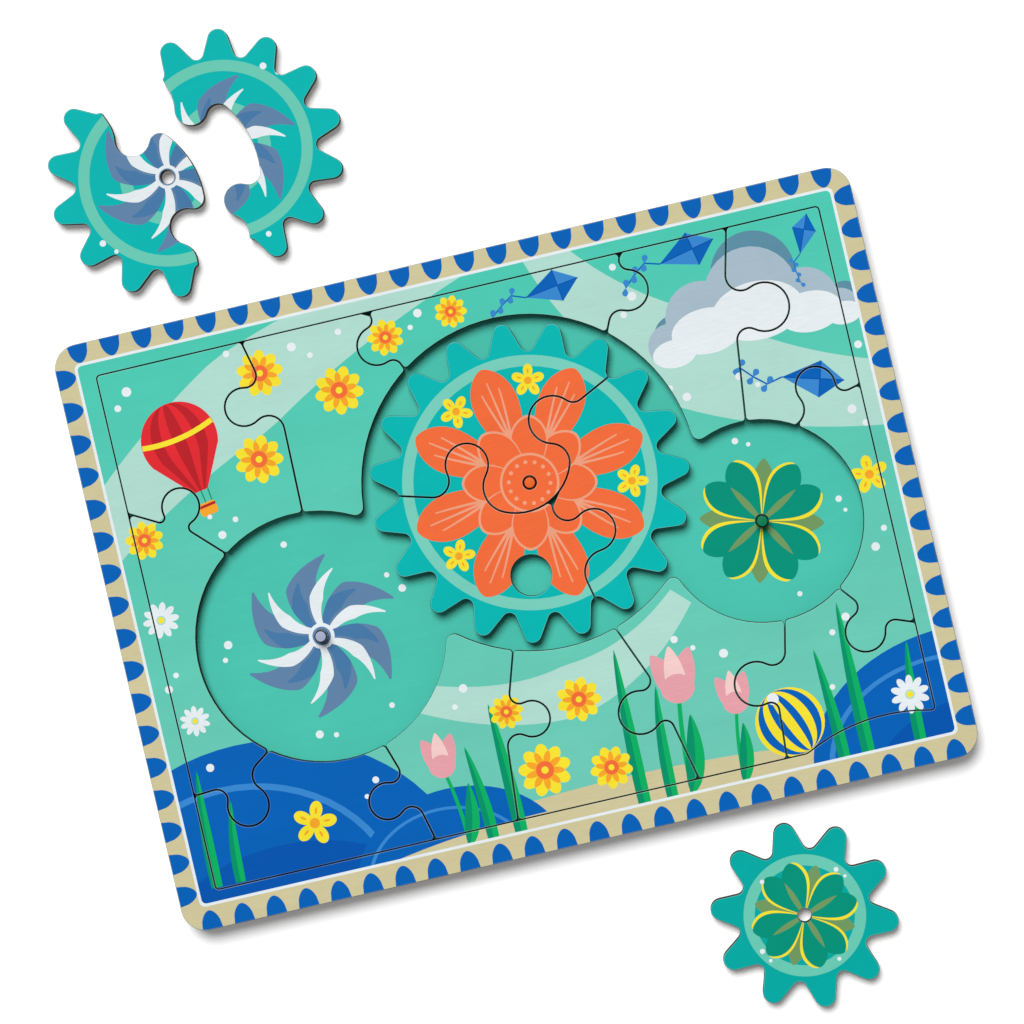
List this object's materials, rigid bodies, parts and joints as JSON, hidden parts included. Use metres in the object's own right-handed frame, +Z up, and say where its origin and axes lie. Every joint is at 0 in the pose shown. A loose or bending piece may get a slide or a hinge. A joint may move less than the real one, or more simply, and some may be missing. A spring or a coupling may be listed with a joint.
{
  "type": "wooden gear jigsaw tray",
  "caption": "Printed wooden tray puzzle: interlocking pieces round wells with pegs, and toothed jigsaw gears that are cranked with a finger.",
  "frame": {"origin": "middle of the tray's underside, on the table", "axes": "+Z up through the tray's thickness, +X along the tray's long side towards the small well, +Y towards the tray's top edge and the loose left gear"},
  "size_m": [0.4, 0.5357, 0.0133],
  "materials": {
    "well_floor_print": "satin print and clear varnish on plywood, bare wood below",
    "rim_print": "satin print and clear varnish on plywood, bare sawn edges",
    "tray_print": "satin print and clear varnish on plywood, bare sawn edges",
    "centre_gear_print": "satin print and clear varnish on plywood, bare sawn edges",
    "left_gear_print": "satin print and clear varnish on plywood, bare sawn edges",
    "right_gear_print": "satin print and clear varnish on plywood, bare sawn edges",
    "grey_peg_paint": "painted hardwood dowel",
    "orange_peg_paint": "painted hardwood dowel",
    "green_peg_paint": "painted hardwood dowel"
  },
  "bodies": {
    "tray": {"base_board": "well_floor_print", "frame_rim": "rim_print", "left_peg": "grey_peg_paint", "centre_peg": "orange_peg_paint", "right_peg": "green_peg_paint"},
    "top_left_corner_piece": {"top_left_corner_piece": "tray_print"},
    "top_left_piece": {"top_left_piece": "tray_print"},
    "top_middle_piece": {"top_middle_piece": "tray_print"},
    "top_right_piece": {"top_right_piece": "tray_print"},
    "top_right_corner_piece": {"top_right_corner_piece": "tray_print"},
    "right_piece": {"right_piece": "tray_print"},
    "bottom_right_corner_piece": {"bottom_right_corner_piece": "tray_print"},
    "bottom_right_piece": {"bottom_right_piece": "tray_print"},
    "bottom_middle_piece": {"bottom_middle_piece": "tray_print"},
    "bottom_left_piece": {"bottom_left_piece": "tray_print"},
    "bottom_left_corner_piece": {"bottom_left_corner_piece": "tray_print"},
    "left_piece": {"left_piece": "tray_print"},
    "centre_gear_hub": {"centre_gear_hub": "centre_gear_print"},
    "centre_gear_side": {"centre_gear_side": "centre_gear_print"},
    "centre_gear_crank": {"centre_gear_crank": "centre_gear_print"},
    "left_gear_hub": {"left_gear_hub": "left_gear_print"},
    "left_gear_side": {"left_gear_side": "left_gear_print"},
    "right_gear": {"right_gear": "right_gear_print"}
  },
  "joints": [
    {"name": "top_left_corner_lift", "type": "slide", "parent": "tray", "child": "top_left_corner_piece", "axis": [0, 0, 1], "range_m": [0, 0.03]},
    {"name": "top_left_lift", "type": "slide", "parent": "tray", "child": "top_left_piece", "axis": [0, 0, 1], "range_m": [0, 0.03]},
    {"name": "top_middle_lift", "type": "slide", "parent": "tray", "child": "top_middle_piece", "axis": [0, 0, 1], "range_m": [0, 0.03]},
    {"name": "top_right_lift", "type": "slide", "parent": "tray", "child": "top_right_piece", "axis": [0, 0, 1], "range_m": [0, 0.03]},
    {"name": "top_right_corner_lift", "type": "slide", "parent": "tray", "child": "top_right_corner_piece", "axis": [0, 0, 1], "range_m": [0, 0.03]},
    {"name": "right_lift", "type": "slide", "parent": "tray", "child": "right_piece", "axis": [0, 0, 1], "range_m": [0, 0.03]},
    {"name": "bottom_right_corner_lift", "type": "slide", "parent": "tray", "child": "bottom_right_corner_piece", "axis": [0, 0, 1], "range_m": [0, 0.03]},
    {"name": "bottom_right_lift", "type": "slide", "parent": "tray", "child": "bottom_right_piece", "axis": [0, 0, 1], "range_m": [0, 0.03]},
    {"name": "bottom_middle_lift", "type": "slide", "parent": "tray", "child": "bottom_middle_piece", "axis": [0, 0, 1], "range_m": [0, 0.03]},
    {"name": "bottom_left_lift", "type": "slide", "parent": "tray", "child": "bottom_left_piece", "axis": [0, 0, 1], "range_m": [0, 0.03]},
    {"name": "bottom_left_corner_lift", "type": "slide", "parent": "tray", "child": "bottom_left_corner_piece", "axis": [0, 0, 1], "range_m": [0, 0.03]},
    {"name": "left_lift", "type": "slide", "parent": "tray", "child": "left_piece", "axis": [0, 0, 1], "range_m": [0, 0.03]},
    {"name": "centre_gear_turn", "type": "hinge", "parent": "tray", "child": "centre_gear_hub", "pos_m": [0.0147, 0.0307, 0.00635], "axis": [0, 0, 1], "continuous": true},
    {"name": "centre_gear_side_lift", "type": "slide", "parent": "centre_gear_hub", "child": "centre_gear_side", "axis": [0, 0, 1], "range_m": [0, 0.03]},
    {"name": "centre_gear_crank_lift", "type": "slide", "parent": "centre_gear_hub", "child": "centre_gear_crank", "axis": [0, 0, 1], "range_m": [0, 0.03]},
    {"name": "left_gear_hub_lift", "type": "slide", "parent": "tray", "child": "left_gear_hub", "axis": [0, 0, 1], "range_m": [0, 0.03]},
    {"name": "left_gear_side_lift", "type": "slide", "parent": "tray", "child": "left_gear_side", "axis": [0, 0, 1], "range_m": [0, 0.03]},
    {"name": "right_gear_lift", "type": "slide", "parent": "tray", "child": "right_gear", "axis": [0, 0, 1], "range_m": [0, 0.03]}
  ]
}
